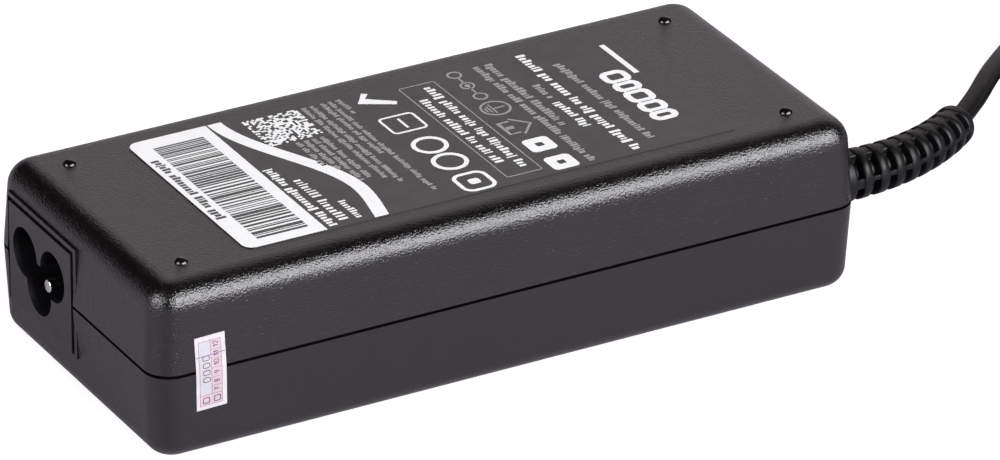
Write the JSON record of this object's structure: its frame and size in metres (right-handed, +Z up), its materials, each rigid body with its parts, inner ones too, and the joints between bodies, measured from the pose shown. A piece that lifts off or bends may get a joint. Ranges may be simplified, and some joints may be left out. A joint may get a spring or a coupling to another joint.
{
  "type": "laptop power adapter",
  "caption": "Brick-shaped laptop power adapter with a clover-leaf mains inlet, rating label, slotted strain relief and a coiled DC lead ending in a barrel plug.",
  "frame": {"origin": "centre of the case underside", "axes": "+X along the case towards the DC lead, -X out of the mains inlet, -Y out of the long front face, +Z up out of the labelled face"},
  "size_m": [0.2556, 0.0814, 0.0318],
  "materials": {
    "case_plastic": "spark-eroded satin",
    "label_film": "matt printed film",
    "sticker_paper": "matt paper",
    "inlet_plastic": "fine satin",
    "pin_plating": "nickel plated",
    "boot_rubber": "satin moulded PVC",
    "cord_jacket": "satin PVC",
    "strap_fabric": "woven hook-and-loop",
    "plug_plastic": "satin moulded PVC",
    "barrel_plating": "nickel plated",
    "insulator_plastic": "moulded",
    "board_laminate": "solder mask",
    "silicone": "soft silicone",
    "insulation_film": "folded film",
    "shield_sheet": "tinned",
    "ferrite": "sintered",
    "copper_wire": "enamelled copper",
    "winding_tape": "polyester tape",
    "bobbin_plastic": "moulded phenolic",
    "capacitor_sleeve": "shrink sleeve",
    "film_capacitor_case": "moulded case",
    "disc_lacquer": "lacquered disc",
    "thermistor_lacquer": "lacquered disc",
    "fuse_ceramic": "plain ceramic",
    "fuse_caps": "nickel-plated brass",
    "heatsink_aluminium": "rolled",
    "package_epoxy": "moulded epoxy",
    "screw_steel": "zinc plated",
    "brown_wire": "PVC insulated wire",
    "earth_wire": "PVC insulated wire",
    "red_wire": "PVC insulated wire"
  },
  "bodies": {
    "root": {"top_case": "case_plastic", "bottom_case": "case_plastic", "rating_label": "label_film", "date_sticker": "sticker_paper", "inlet_body": "inlet_plastic", "inlet_line_pin": "pin_plating", "inlet_neutral_pin": "pin_plating", "inlet_earth_pin": "pin_plating", "cord_boot": "boot_rubber", "dc_cord_lead": "cord_jacket", "dc_cord_coil": "cord_jacket", "dc_cord_tail": "cord_jacket", "cord_tie": "strap_fabric", "plug_body": "plug_plastic", "plug_barrel": "barrel_plating", "plug_insulator": "insulator_plastic", "plug_inner_contact": "barrel_plating", "plug_centre_pin": "barrel_plating", "main_board": "board_laminate", "board_spacers": "silicone", "lower_shield": "shield_sheet", "upper_shield": "shield_sheet", "lower_insulator": "insulation_film", "upper_insulator": "insulation_film", "input_fuse": "fuse_ceramic", "fuse_end_caps": "fuse_caps", "varistor": "disc_lacquer", "inrush_thermistor": "thermistor_lacquer", "x_capacitor": "film_capacitor_case", "y_capacitors": "disc_lacquer", "choke_core": "ferrite", "choke_windings": "copper_wire", "bridge_rectifier": "package_epoxy", "boost_inductor_core": "ferrite", "boost_inductor_winding": "copper_wire", "bulk_capacitor": "capacitor_sleeve", "primary_heatsink": "heatsink_aluminium", "secondary_heatsink": "heatsink_aluminium", "switching_transistors": "package_epoxy", "output_rectifier": "package_epoxy", "insulating_pads": "silicone", "heatsink_screws": "screw_steel", "transformer_core": "ferrite", "transformer_bobbin": "bobbin_plastic", "transformer_windings": "winding_tape", "output_capacitors": "capacitor_sleeve", "output_choke": "copper_wire", "optocoupler": "package_epoxy", "controller_chips": "package_epoxy", "inlet_wires": "brown_wire", "earth_wire": "earth_wire", "output_wires": "red_wire"}
  },
  "joints": []
}
